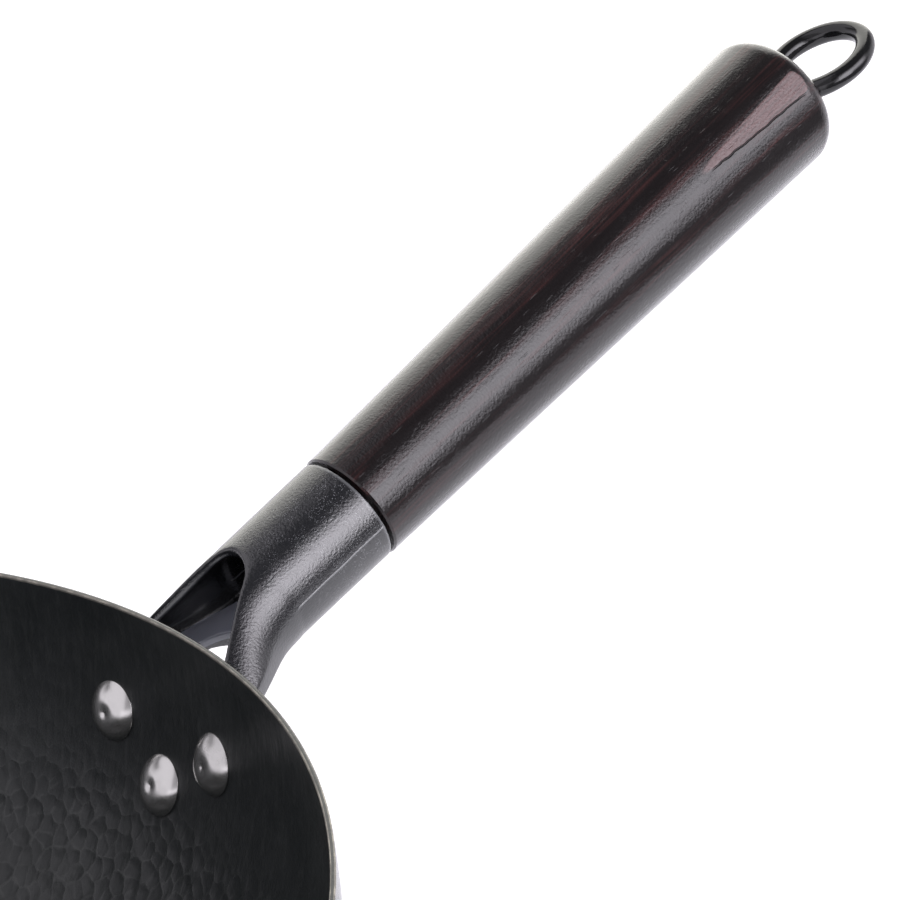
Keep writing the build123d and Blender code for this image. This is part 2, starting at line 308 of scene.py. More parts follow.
class WokStageSettings(bpy.types.PropertyGroup):
    floor_radius: length("Floor Radius", "Radius of the white floor", 0.85)
    floor_reach: length("Floor Reach", "Distance of the floor's middle behind the wok", 0.60)
    floor_white: colour("Floor", "Colour of the floor", (0.90, 0.90, 0.90))
    window_strength: share("Window", "Brightness of the tall white window behind", 1.9)
    cloth_strength: share("Cloth", "Brightness of the lit cloth above and to the left", 0.86)
    strip_strength: share("Strip", "Brightness of the long lamp in front", 4.3)
    lamp_strength: share("Lamp", "Brightness of the small lamp on the left", 1.2)
    wall_strength: share("Wall", "Brightness of the wall above the small lamp", 0.40)
    ceiling_strength: share("Ceiling", "Brightness of the ceiling", 0.10)
    front_strength: share("Front", "Brightness of the room below the horizon in front", 0.19)
    cream_light: colour("Cream Light", "Colour of the light from behind", (1.0, 0.985, 0.94))
    cool_light: colour("Cool Light", "Colour of the rest of the light", (0.96, 0.93, 1.0))


# Nodes


def feed(tree, socket, value):
    """Links a socket to another one, or sets its own value."""
    if isinstance(value, bpy.types.NodeSocket):
        tree.links.new(value, socket)
    else:
        socket.default_value = value


def feed_all(tree, made, inputs):
    """Feeds a node's inputs by name."""
    for key, value in inputs.items():
        feed(tree, made.inputs[key], value)


def node(tree, kind, inputs=None, **properties):
    """A new node with its properties set and its inputs fed by name."""
    made = tree.nodes.new(kind)
    for key, value in properties.items():
        setattr(made, key, value)
    feed_all(tree, made, inputs or {})
    return made


def calc(tree, operation, *values):
    """The result of a Math node."""
    made = tree.nodes.new("ShaderNodeMath")
    made.operation = operation
    for socket, value in zip(made.inputs, values):
        feed(tree, socket, value)
    return made.outputs[0]


def vectors(tree, operation, inputs):
    """The vector that a Vector Math node gives."""
    return node(tree, "ShaderNodeVectorMath", inputs, operation=operation).outputs[0]


def times(tree, product, *values):
    """The product of values."""
    for value in values:
        product = calc(tree, "MULTIPLY", product, value)
    return product


def ramp(tree, value, start, end, low=0.0, high=1.0):
    """A value that turns smoothly from low at start to high at end, and stays there."""
    if start > end:
        start, end, low, high = end, start, high, low
    sizes = {"From Min": start, "From Max": end, "To Min": low, "To Max": high}
    made = node(
        tree, "ShaderNodeMapRange", {"Value": value, **sizes}, interpolation_type="SMOOTHSTEP"
    )
    return made.outputs["Result"]


def mix_colours(tree, factor, first, second):
    """A colour between two others."""
    made = tree.nodes.new("ShaderNodeMix")
    made.data_type = "RGBA"
    feed(tree, made.inputs[0], factor)
    for socket, value in ((made.inputs[6], first), (made.inputs[7], second)):
        feed(tree, socket, value if isinstance(value, bpy.types.NodeSocket) else (*value, 1))
    return made.outputs[2]


def noise_field(tree, vector, scale, detail=2.0, roughness=0.5):
    """Cloudy noise from 0 to 1."""
    inputs = {"Vector": vector, "Scale": scale, "Detail": detail, "Roughness": roughness}
    return node(tree, "ShaderNodeTexNoise", inputs).outputs[0]


def wandering(tree, vector, scale, detail, reach):
    """A length that wanders to both sides of 0, by half a reach at most."""
    field = noise_field(tree, vector, scale, detail)
    return times(tree, calc(tree, "SUBTRACT", field, 0.5), reach)


def stretched(tree, vector, scale):
    """A vector scaled along each axis."""
    return node(tree, "ShaderNodeMapping", {"Vector": vector, "Scale": scale}).outputs[0]


def object_place(tree):
    """The point on the object."""
    return node(tree, "ShaderNodeTexCoord").outputs["Object"]


def handle_place(tree):
    """The point in the handle's own axes."""
    inputs = {"Vector": object_place(tree), "Location": JOINT, "Rotation": HANDLE_TURN}
    return node(tree, "ShaderNodeMapping", inputs, vector_type="TEXTURE").outputs[0]


def parted(tree, vector):
    """A vector's three numbers."""
    return node(tree, "ShaderNodeSeparateXYZ", {"Vector": vector}).outputs


def stored(tree, name, output="Fac"):
    """What the mesh stores at each point under a name."""
    return node(tree, "ShaderNodeAttribute", attribute_name=name).outputs[output]


def dent_cells(tree, unrolled, dent_size, feature):
    """Distance within the uneven cells of the hammer marks."""
    swirls = {"Vector": unrolled, "Scale": MARK_SWIRLS, "Detail": 1.0}
    swirl = node(tree, "ShaderNodeTexNoise", swirls).outputs[1]
    shift = vectors(tree, "SUBTRACT", {0: swirl, 1: (0.5, 0.5, 0.5)})
    scaled = vectors(tree, "SCALE", {0: shift, "Scale": DENT_SWIRL * dent_size})
    warped = vectors(tree, "ADD", {0: unrolled, 1: scaled})
    cells = node(
        tree,
        "ShaderNodeTexVoronoi",
        {"Vector": warped, "Scale": 1 / dent_size, "Randomness": DENT_UNEVENNESS},
        voronoi_dimensions="2D",
        feature=feature,
    )
    return cells.outputs["Distance"]


def dent_rise(tree, unrolled, dent_size):
    """Height of the hammered surface, from 0 in a mark's middle to 1 on the ridges."""
    from_middle = dent_cells(tree, unrolled, dent_size, "F1")
    spread = calc(tree, "DIVIDE", from_middle, RIDGE_DISTANCE)
    return calc(tree, "MINIMUM", calc(tree, "POWER", spread, 2.0), 1.0)


def new_group(name, inputs, outputs):
    """An empty shader node group with its sockets, its tree and its two end nodes."""
    tree = bpy.data.node_groups.new(name, "ShaderNodeTree")
    for socket, kind in inputs.items():
        tree.interface.new_socket(socket, in_out="INPUT", socket_type=kind)
    for socket in outputs:
        tree.interface.new_socket(socket, in_out="OUTPUT", socket_type="NodeSocketFloat")
    return tree, tree.nodes.new("NodeGroupInput"), tree.nodes.new("NodeGroupOutput")


def fine_grain_group():
    """Fine grain of a coat or casting: a height, and bright specks in drifts."""
    name = "Fine Grain"
    if name in bpy.data.node_groups:
        return bpy.data.node_groups[name]
    sockets = {"Place": "NodeSocketVector", "Grains": "NodeSocketFloat"}
    tree, start, end = new_group(name, sockets, ("Height", "Specks"))
    place, grains = start.outputs["Place"], start.outputs["Grains"]
    fine = noise_field(tree, place, grains, 3.0, 0.6)
    dots = node(tree, "ShaderNodeTexVoronoi", {"Vector": place, "Randomness": 1.0})
    feed(tree, dots.inputs["Scale"], times(tree, grains, 1.5))
    drifts = ramp(tree, noise_field(tree, place, SPECK_DRIFTS), 0.40, 0.58)
    specks = times(tree, ramp(tree, dots.outputs["Distance"], 0.33, 0.15), drifts)
    feed_all(tree, end, {"Height": fine, "Specks": specks})
    return tree


def handling_marks_group():
    """Marks of use: soft smudges, and thin scratches in two directions."""
    name = "Handling Marks"
    if name in bpy.data.node_groups:
        return bpy.data.node_groups[name]
    tree, start, end = new_group(name, {"Place": "NodeSocketVector"}, ("Smudges", "Scratches"))
    place = start.outputs["Place"]
    smudges = ramp(tree, noise_field(tree, place, SMUDGES, 4.0, 0.6), 0.42, 0.68)
    lines = 0.0
    for scale in SCRATCHES:
        field = noise_field(tree, stretched(tree, place, scale), 1.0, 1.0)
        off_line = calc(tree, "ABSOLUTE", calc(tree, "SUBTRACT", field, 0.5))
        lines = calc(tree, "MAXIMUM", lines, ramp(tree, off_line, 0.010, 0.0))
    sparse = ramp(tree, noise_field(tree, place, SCRATCHED_PATCHES, 1.0), 0.55, 0.70)
    feed_all(tree, end, {"Smudges": smudges, "Scratches": times(tree, lines, sparse)})
    return tree


def new_material(name):
    """A material with a plain Principled BSDF, its tree and its shader."""
    material = bpy.data.materials.new(name)
    material.use_nodes = True
    tree = material.node_tree
    return material, tree, tree.nodes["Principled BSDF"]


def placed_group(tree, group, place, **inputs):
    """A node group placed in a material."""
    made = tree.nodes.new("ShaderNodeGroup")
    made.node_tree = group
    feed_all(tree, made, {"Place": place, **inputs})
    return made


def bumped(tree, *layers):
    """A normal bent by heights from 0 to 1, each standing for a depth in metres."""
    below = {}
    for height, depth in layers:
        inputs = {"Height": height, "Distance": depth, "Strength": 1.0, **below}
        below = {"Normal": node(tree, "ShaderNodeBump", inputs).outputs[0]}
    return below["Normal"]


# Materials


def seasoned_steel(settings):
    """Black seasoned steel, hammered low on the wall and streaked near the rim."""
    material, tree, shader = new_material("Seasoned Hammered Steel")
    place = object_place(tree)
    unrolled = stored(tree, "unrolled", "Vector")
    hammered = stored(tree, "hammered")
    rise = dent_rise(tree, unrolled, settings.dent_size)
    rubbed = ramp(tree, noise_field(tree, place, RUBBED_PATCHES, 3.0), 0.38, 0.62, 0.25, 1.0)
    off_border = dent_cells(tree, unrolled, settings.dent_size, "DISTANCE_TO_EDGE")
    # The marks' ridges are lighter in colour: partly worn steel, partly a painted highlight for the
    # light lines they catch.
    ridges = times(tree, ramp(tree, off_border, 0.15, 0.01), hammered, rubbed)
    streaks = noise_field(tree, stored(tree, "wall_bands", "Vector"), WALL_STREAKS)
    grain = placed_group(tree, fine_grain_group(), place, Grains=STEEL_GRAINS)
    marks = placed_group(tree, handling_marks_group(), place)
    clouds = ramp(tree, noise_field(tree, place, WALL_CLOUDS, 3.0), 0.35, 0.75)

    from_middle = node(tree, "ShaderNodeVectorMath", {0: unrolled}, operation="LENGTH")
    used = ramp(tree, from_middle.outputs["Value"], *USED_WALL, 0.0, WEAR_BY_USE)
    tone, worn_and_highlit = settings.steel, settings.worn_and_highlit_steel
    for amount in (
        calc(tree, "ADD", used, times(tree, clouds, WEAR_BY_CLOUDS)),
        times(tree, ramp(tree, streaks, 0.50, 0.66), WEAR_BY_STREAKS),
        times(tree, ridges, WEAR_AND_HIGHLIGHT_ON_RIDGES),
    ):
        tone = mix_colours(tree, amount, tone, worn_and_highlit)
    bare = times(tree, stored(tree, "edge_wear"), ramp(tree, rubbed, 0.25, 1.0, 0.55, 1.0))
    tone = mix_colours(tree, bare, tone, settings.bare_steel)
    roughness = ramp(tree, marks.outputs["Smudges"], 0.0, 1.0, *STEEL_ROUGHNESS)
    roughness = calc(tree, "SUBTRACT", roughness, times(tree, ridges, RIDGE_POLISH))
    outside = stored(tree, "outside")
    polished = calc(tree, "SUBTRACT", 1.0, times(tree, outside, OUTSIDE_POLISH))
    normal = bumped(
        tree,
        (times(tree, rise, hammered), settings.dent_depth),
        (streaks, 0.09 * MILLIMETRE),
        (grain.outputs["Height"], 0.02 * MILLIMETRE),
    )
    looks = {
        "Base Color": tone,
        "Metallic": times(tree, bare, 0.9),
        "IOR": 1.5,
        "Roughness": times(tree, roughness, polished),
        "Normal": normal,
    }
    feed_all(tree, shader, looks)
    return material


def black_coat(settings):
    """Black satin coat on cast steel: fine grain, drifts of bright specks, a parting line, painted
    highlights along it and the tube's rim, and painted light on the channel's floor.
    """
    material, tree, shader = new_material("Black Satin Coat")
    place = handle_place(tree)
    down, level, along = parted(tree, place)
    grain = placed_group(tree, fine_grain_group(), place, Grains=1 / settings.grain)
    marks = placed_group(tree, handling_marks_group(), place)
    wander = wandering(tree, place, LINE_WAVES, 2.0, 0.4 * MILLIMETRE)
    off_line = calc(tree, "ABSOLUTE", calc(tree, "ADD", down, wander))
    on_tube = ramp(tree, along, *PARTING_START)
    parting = times(tree, ramp(tree, off_line, *PARTING_WIDTH), on_tube)

    speckled = ramp(tree, along, *SPECKED_TUBE, 0.0, 0.8)
    specks = times(tree, grain.outputs["Specks"], speckled)
    tone = mix_colours(tree, specks, settings.coat, settings.speck_and_highlight)
    # The tube's rim and the parting line are lighter in colour: painted highlights for the light
    # their edges catch, on the rim partly also worn coat.
    painted_rim_highlight = times(tree, ramp(tree, along, *PAINTED_RIM_HIGHLIGHT), 0.45)
    painted_highlight_lines = calc(tree, "MAXIMUM", times(tree, parting, 0.6), painted_rim_highlight)
    tone = mix_colours(tree, painted_highlight_lines, tone, settings.speck_and_highlight)
    # Painted light: the channel's floor, in shade between the legs, takes the pale web colour in
    # place of the light it reflects.
    aside = calc(tree, "ADD", calc(tree, "ABSOLUTE", level), times(tree, along, WEB_SPREAD))
    web_painted_light = times(
        tree,
        ramp(tree, down, *WEB_TOP),
        ramp(tree, down, *WEB_UNDERSIDE),
        ramp(tree, along, *WEB_START),
        ramp(tree, aside, *WEB_SIDES),
    )
    looks = {
        "Base Color": mix_colours(tree, web_painted_light, tone, settings.web_painted_light),
        "IOR": 1.9,
        "Roughness": ramp(tree, marks.outputs["Smudges"], 0.0, 1.0, *COAT_ROUGHNESS),
        "Normal": bumped(
            tree,
            (parting, 0.10 * MILLIMETRE),
            (grain.outputs["Height"], 0.09 * MILLIMETRE),
        ),
    }
    feed_all(tree, shader, looks)
    return material


def polished_steel(settings):
    """Polished stainless steel with smudges and faint scratches."""
    material, tree, shader = new_material("Polished Rivet Steel")
    place = object_place(tree)
    marks = placed_group(tree, handling_marks_group(), place)
    grain = placed_group(tree, fine_grain_group(), place, Grains=RIVET_GRAINS)
    smudges = marks.outputs["Smudges"]
    tarnish = [0.62 * channel for channel in settings.steel]
    looks = {
        "Base Color": mix_colours(tree, times(tree, smudges, 0.5), settings.steel, tarnish),
        "Metallic": 1.0,
        "Roughness": ramp(tree, smudges, 0.0, 1.0, *RIVET_ROUGHNESS),
        "Normal": bumped(
            tree,
            (marks.outputs["Scratches"], -0.006 * MILLIMETRE),
            (grain.outputs["Height"], 0.003 * MILLIMETRE),
        ),
    }
    feed_all(tree, shader, looks)
    return material


def facet_amount(tree, place, settings):
    """How far a point is on the planed flat, from 0 to 1, and its places across and along it."""
    down, level, along = parted(tree, place)
    sine, cosine = math.sin(settings.facet_side), math.cos(settings.facet_side)
    facing = calc(tree, "ADD", times(tree, down, -sine), times(tree, level, cosine))
    aside = calc(tree, "ADD", times(tree, down, cosine), times(tree, level, sine))
    reach = settings.length - settings.facet_start
    taper = (settings.end_radius - settings.front_radius) / settings.length
    start_distance = settings.front_radius + taper * settings.facet_start
    slope = taper - settings.facet_depth / reach
    past_start = calc(tree, "SUBTRACT", along, settings.facet_start)
    plane = calc(tree, "ADD", start_distance, times(tree, past_start, slope))
    on_facet = ramp(tree, calc(tree, "SUBTRACT", plane, facing), *FLAT_EDGE)
    return times(tree, on_facet, ramp(tree, past_start, *FLAT_RUN_IN)), aside, along


def charred_wood(settings):
    """Stained and charred wood under a glossy finish, with long grain, pores and a planed flat."""
    material, tree, shader = new_material("Glossy Charred Wood")
    place = handle_place(tree)
    warp = wandering(tree, stretched(tree, place, WOOD_WARP), 1.0, 2.0, 2.2 * MILLIMETRE)
    shift = node(tree, "ShaderNodeCombineXYZ", {"X": warp, "Y": warp}).outputs[0]
    warped = vectors(tree, "ADD", {0: place, 1: shift})
    figure = noise_field(tree, stretched(tree, warped, WOOD_FIGURE), 1.0, 3.0, 0.6)
    fibres = noise_field(tree, stretched(tree, warped, WOOD_FIBRES), 1.0)
    pores = noise_field(tree, stretched(tree, warped, WOOD_PORES), 1.0, 1.0)
    pores = ramp(tree, pores, 0.70, 0.78)
    crinkle = noise_field(tree, stretched(tree, place, WOOD_CRINKLE), 1.0, 3.0, 0.6)
    marks = placed_group(tree, handling_marks_group(), place)
    on_facet, aside, along = facet_amount(tree, place, settings)

    crack_line = times(tree, calc(tree, "SUBTRACT", along, CRACK_MIDDLE), CRACK_SLANT)
    crack_line = calc(tree, "ADD", crack_line, CRACK_SIDE)
    wander = wandering(tree, place, CRACK_WAVES, 3.0, CRACK_WANDER)
    crack_line = calc(tree, "ADD", crack_line, wander)
    off_crack = calc(tree, "ABSOLUTE", calc(tree, "ADD", aside, crack_line))
    crack_run = times(tree, ramp(tree, along, *CRACK_START), ramp(tree, along, *CRACK_END))
    crack = times(tree, ramp(tree, off_crack, *CRACK_WIDTH), crack_run)

    warm = times(tree, ramp(tree, figure, 0.45, 0.75), ramp(tree, fibres, 0.30, 0.65))
    bare = times(tree, on_facet, ramp(tree, fibres, 0.25, 0.60, 0.35, 0.85))
    tone = settings.dark_wood
    for amount, stain in (
        (warm, settings.warm_wood),
        (bare, settings.bare_wood),
        (times(tree, pores, 0.7), settings.dark_wood),
        (crack, settings.dark_wood),
    ):
        tone = mix_colours(tree, amount, tone, stain)
    normal = bumped(
        tree,
        (fibres, 0.028 * MILLIMETRE),
        (crinkle, 0.09 * MILLIMETRE),
        (pores, -0.02 * MILLIMETRE),
        (marks.outputs["Scratches"], -0.01 * MILLIMETRE),
        (crack, -0.25 * MILLIMETRE),
    )
    looks = {
        "Base Color": tone,
        "Roughness": ramp(tree, fibres, 0.3, 0.7, *WOOD_ROUGHNESS),
        "Specular IOR Level": 0.15,
        "Coat Weight": calc(tree, "SUBTRACT", 1.0, times(tree, crack, 0.8)),
        "Coat Roughness": 0.05,
        "Coat IOR": 1.5,
        "Normal": normal,
        "Coat Normal": normal,
    }
    feed_all(tree, shader, looks)
    return material


def black_enamel(settings):
    """Glossy black enamel on wire, a little orange-peeled."""
    material, tree, shader = new_material("Glossy Black Enamel")
    place = object_place(tree)
    grain = placed_group(tree, fine_grain_group(), place, Grains=ENAMEL_GRAINS)
    marks = placed_group(tree, handling_marks_group(), place)
    lit = [3 * channel for channel in settings.enamel]
    scratched = times(tree, marks.outputs["Scratches"], 0.8)
    looks = {
        "Base Color": mix_colours(tree, scratched, settings.enamel, lit),
        "IOR": 1.6,
        "Roughness": ramp(tree, marks.outputs["Smudges"], 0.0, 1.0, *ENAMEL_ROUGHNESS),
        "Normal": bumped(tree, (grain.outputs["Height"], 0.02 * MILLIMETRE)),
    }
    feed_all(tree, shader, looks)
    return material


def zinc_plate(settings):
    """Dull zinc plate on the nut behind the cross wall."""
    material, tree, shader = new_material("Dull Zinc Plate")
    grain = placed_group(tree, fine_grain_group(), handle_place(tree), Grains=ZINC_GRAINS)
    height = grain.outputs["Height"]
    dull = [0.55 * channel for channel in settings.zinc]
    looks = {
        "Base Color": mix_colours(tree, height, settings.zinc, dull),
        "Metallic": 1.0,
        "Roughness": ramp(tree, height, 0.3, 0.7, *ZINC_ROUGHNESS),
        "Normal": bumped(tree, (height, 0.02 * MILLIMETRE)),
    }
    feed_all(tree, shader, looks)
    return material


# Modelling


def deselect_everything():
    """Leaves no object selected, so that an operator acts on its own piece alone."""
    for item in bpy.context.selected_objects:
        item.select_set(False)


def make_active(piece):
    """Selects one object alone."""
    deselect_everything()
    piece.select_set(True)
    bpy.context.view_layer.objects.active = piece


def apply_modifier(piece, modifier):
    """Applies a modifier to its piece."""
    make_active(piece)
    bpy.ops.object.modifier_apply(modifier=modifier.name)


def arc(centre, radius, start, end, count):
    """Points along an arc from one angle to another, both ends included."""
    turns = [start + (end - start) * index / count for index in range(count + 1)]
    return [
        Vector((centre[0] + radius * math.cos(turn), centre[1] + radius * math.sin(turn)))
        for turn in turns
    ]


def run(start, end, count):
    """Evenly spaced points along a straight run, both ends included."""
    return [Vector(start).lerp(Vector(end), index / count) for index in range(count + 1)]


def rounded(before, corner, after, radius, count):
    """Points along the arc that rounds a corner."""
    before, corner, after = Vector(before), Vector(corner), Vector(after)
    to_before = (before - corner).normalized()
    to_after = (after - corner).normalized()
    half = to_before.angle(to_after) / 2
    centre = corner + (to_before + to_after).normalized() * radius / math.sin(half)
    first = corner + to_before * radius / math.tan(half) - centre
    last = corner + to_after * radius / math.tan(half) - centre
    start = math.atan2(first.y, first.x)
    turn = math.atan2(first.x * last.y - first.y * last.x, first.dot(last))
    return arc(centre, radius, start, start + turn, count)


def turned(name, outline, steps, place):
    """A closed turned piece: a vertex drawn out along a half section, and turned."""
    deselect_everything()
    bpy.ops.mesh.primitive_plane_add(size=MILLIMETRE)
    piece = bpy.context.object
    piece.name = piece.data.name = name
    bpy.ops.object.mode_set(mode="EDIT")
    bpy.ops.mesh.select_all(action="SELECT")
    bpy.ops.mesh.merge(type="CENTER")
    bpy.ops.transform.translate(value=(outline[0].x, 0, outline[0].y))
    for before, after in zip(outline, outline[1:]):
        move = after - before
        bpy.ops.mesh.extrude_region_move(TRANSFORM_OT_translate={"value": (move.x, 0, move.y)})
    bpy.ops.object.mode_set(mode="OBJECT")
    lathe = piece.modifiers.new("Lathe", "SCREW")
    lathe.angle = FULL_TURN
    lathe.steps = lathe.render_steps = steps
    lathe.use_merge_vertices = True
    lathe.merge_threshold = WELD
    apply_modifier(piece, lathe)
    bpy.ops.object.mode_set(mode="EDIT")
    bpy.ops.mesh.select_all(action="SELECT")
    bpy.ops.mesh.remove_doubles(threshold=WELD)
    bpy.ops.mesh.normals_make_consistent(inside=False)
    bpy.ops.object.mode_set(mode="OBJECT")
    piece.matrix_world = place
    bpy.ops.object.transform_apply(location=True, rotation=True, scale=True)
    return piece


def smooth_shaded(piece, degrees):
    """Shades a piece smooth but for edges sharper than an angle."""
    make_active(piece)
    bpy.ops.object.shade_smooth_by_angle(angle=math.radians(degrees))


def soften(piece, name, passes, group=""):
    """Rounds a piece's edges, or those of a vertex group alone."""
    smooth = piece.modifiers.new(name, "SMOOTH")
    smooth.factor = 0.5
    smooth.iterations = passes
    smooth.vertex_group = group
    apply_modifier(piece, smooth)


def soften_channel_top(piece, passes):
    """Rounds the upper edges of the bracket's channel further."""
    to_handle = HANDLE_PLACE.inverted()
    group = piece.vertex_groups.new(name="Channel Top")
    for vertex in piece.data.vertices:
        point = to_handle @ vertex.co
        inward = min(1, max(0, (CHANNEL_START - point.z) / CHANNEL_RUN_IN))
        upper = min(1, max(0, (CHANNEL_TOP - point.x) / CHANNEL_TOP_RUN_IN))
        if inward * upper > 0:
            group.add([vertex.index], inward * upper, "REPLACE")
    soften(piece, "Soft Channel Top", passes, group.name)
    piece.vertex_groups.clear()


def remeshed_copy(cad_node, name, voxel, passes, kept_share, soft_top_passes=0):
    """A copy of a CAD node with its sharp edges softened, as a coat leaves them."""
    piece = bpy.data.objects.new(name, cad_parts[cad_node].data.copy())
    bpy.context.scene.collection.objects.link(piece)
    piece.data.materials.clear()
    make_active(piece)
    bpy.ops.object.mode_set(mode="EDIT")
    bpy.ops.mesh.select_all(action="SELECT")
    bpy.ops.mesh.remove_doubles(threshold=WELD)
    bpy.ops.object.mode_set(mode="OBJECT")
    remesh = piece.modifiers.new("Even Faces", "REMESH")
    remesh.mode = "VOXEL"
    remesh.voxel_size = voxel
    apply_modifier(piece, remesh)
    soften(piece, "Soft Edges", passes)
    if soft_top_passes:
        soften_channel_top(piece, soft_top_passes)
    thin_out = piece.modifiers.new("Fewer Faces", "DECIMATE")
    thin_out.ratio = kept_share
    apply_modifier(piece, thin_out)
    smooth_shaded(piece, COATED_EDGE)
    return piece


def hand_over(piece, material, cad_node):
    """Gives a finished piece its material and its place in the object."""
    piece.data.materials.clear()
    piece.data.materials.append(material)
    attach(piece, "root")
    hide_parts(cad_node)


class WallShape:
    """The bowl's wall: a flat base, a lower arc, an upper arc and a straight lip."""

    def __init__(self, settings):
        self.rim_radius = settings.rim_radius
        self.top = settings.depth
        self.sheet = settings.sheet
        self.lip_start = settings.depth - settings.lip
        self.upper_radius = settings.upper_radius
        self.lean = settings.upper_lean
        self.upper_reach = settings.rim_radius - settings.upper_radius
        self.lower_rise = self.lip_start - self.upper_radius * math.sin(self.lean)
        self.lower_radius = self.lower_rise / (1 - math.sin(self.lean))
        self.base_radius = self.upper_reach + (
            self.upper_radius - self.lower_radius
        ) * math.cos(self.lean)

    def outline(self, growth, arc_counts):
        """The wall's section from the base's edge to the lip, grown outward by a distance."""
        lower_count, upper_count = arc_counts
        lower_centre = (self.base_radius, self.lower_radius)
        upper_centre = (self.upper_reach, self.lip_start)
        lower = arc(
            lower_centre, self.lower_radius + growth, -math.pi / 2, -self.lean, lower_count
        )
        upper = arc(upper_centre, self.upper_radius + growth, -self.lean, 0, upper_count)
        return lower + upper[1:]

    def place_on_wall(self, point):
        """Length along the outer wall from the middle, and depth in from the outer face."""
        reach = math.hypot(point.x, point.y)
        lower_turn = math.pi / 2 - self.lean
        lower_end = self.base_radius + self.lower_radius * lower_turn
        if reach <= self.base_radius:
            return reach, point.z
        away = Vector((reach - self.base_radius, self.lower_radius - point.z))
        turn = math.atan2(away.x, away.y)
        if turn < lower_turn:
            return self.base_radius + self.lower_radius * turn, self.lower_radius - away.length
        upper_end = lower_end + self.upper_radius * self.lean
        if point.z >= self.lip_start:
            return upper_end + point.z - self.lip_start, self.rim_radius - reach
        away = Vector((reach - self.upper_reach, self.lip_start - point.z))
        turn = self.lean - math.atan2(away.y, away.x)
        return lower_end + self.upper_radius * turn, self.upper_radius - away.length


def bowl_outline(wall, settings):
    """The bowl's closed half section: up its outside, over the rim and down its inside."""
    top_outside = (wall.rim_radius, wall.top)
    top_inside = (wall.rim_radius - wall.sheet, wall.top)
    lip_outside = (wall.rim_radius, wall.lip_start)
    lip_inside = (wall.rim_radius - wall.sheet, wall.lip_start)
    outer_base = run((0, 0), (wall.base_radius, 0), OUTER_BASE_STEPS)[:-1]
    outside = outer_base + wall.outline(0, OUTER_ARC_STEPS)
    below_rim = wall.top - 2 * settings.rim_rounding
    rim = [Vector((wall.rim_radius, below_rim))]
    for corner in (
        (lip_outside, top_outside, top_inside),
        (top_outside, top_inside, lip_inside),
    ):
        rim += rounded(*corner, settings.rim_rounding, RIM_EDGE_STEPS)
    rim.append(Vector((wall.rim_radius - wall.sheet, below_rim)))
    inner_wall = wall.outline(-wall.sheet, INNER_ARC_STEPS)
    inner_base = run((0, wall.sheet), (wall.base_radius, wall.sheet), INNER_BASE_STEPS)[:-1]
    return outside + rim + list(reversed(inner_base + inner_wall))


def rivet_places(wall, settings):
    """Each rivet's name and place: its origin on the inner face, its Z out through the wall."""
    places = {}
    for name, drop, side in (
        ("rivet_left", settings.upper_drop, settings.upper_side),
        ("rivet_right", settings.upper_drop, -settings.upper_side),
        ("rivet_lower", settings.lower_drop, 0),
    ):
        inner_radius = wall.upper_radius - wall.sheet
        slope = math.asin((drop - wall.top + wall.lip_start) / inner_radius)
        reach = wall.upper_reach + inner_radius * math.cos(slope)
        turn = math.asin(side / reach)
        origin = (reach * math.cos(turn), side, wall.top - drop)
        facing = Euler((0, math.pi / 2 + slope, turn))
        places[name] = Matrix.LocRotScale(origin, facing, None)
    return places


def drill(piece, places, radius):
    """Cuts a round hole through a piece at each place."""
    for name, place in places.items():
        deselect_everything()
        bpy.ops.mesh.primitive_cylinder_add(
            vertices=HOLE_STEPS, radius=radius, depth=DRILL_LENGTH
        )
        bit = bpy.context.object
        bit.matrix_world = place
        hole = piece.modifiers.new(name, "BOOLEAN")
        hole.operation = "DIFFERENCE"
        hole.solver = "MANIFOLD"
        hole.object = bit
        apply_modifier(piece, hole)
        bpy.data.objects.remove(bit)


def mark_wall(piece, wall, settings):
    """Stores where each point lies on the unrolled wall, and how hammered and rubbed it is."""
    unrolled, bands, hammered, edge_wear, outside = [], [], [], [], []
    reach = WEAR_DOWN * settings.rim_rounding
    for vertex in piece.data.vertices:
        along, depth = wall.place_on_wall(vertex.co)
        flat = Vector((vertex.co.x, vertex.co.y))
        toward = flat.normalized() if flat.length > 0 else Vector((1, 0))
        unrolled.extend((along * toward.x, along * toward.y, 0))
        bands.extend((wall.rim_radius * toward.x, wall.rim_radius * toward.y))
        bands.append(STREAK_LENGTH_SHARE * along)
        fade = min(1, max(0, (settings.dent_end - along) / settings.dent_fade))
        fade = max(settings.faint_dents, fade * fade * (3 - 2 * fade))
        inside = depth > INSIDE_DEPTH * wall.sheet and vertex.co.z < wall.lip_start
        hammered.append(fade if inside else 0)
        at_top = vertex.co.z > wall.top - reach
        off_face = min(depth, wall.sheet - depth)
        edge_wear.append(1 if at_top and off_face < WEAR_INWARD * reach else 0)
        outside.append(1 if depth < OUTSIDE_DEPTH * wall.sheet else 0)
    for name, values in (("unrolled", unrolled), ("wall_bands", bands)):
        layer = piece.data.attributes.new(name, "FLOAT_VECTOR", "POINT")
        layer.data.foreach_set("vector", values)
    shares = {"hammered": hammered, "edge_wear": edge_wear, "outside": outside}
    for name, values in shares.items():
        layer = piece.data.attributes.new(name, "FLOAT", "POINT")
        layer.data.foreach_set("value", values)


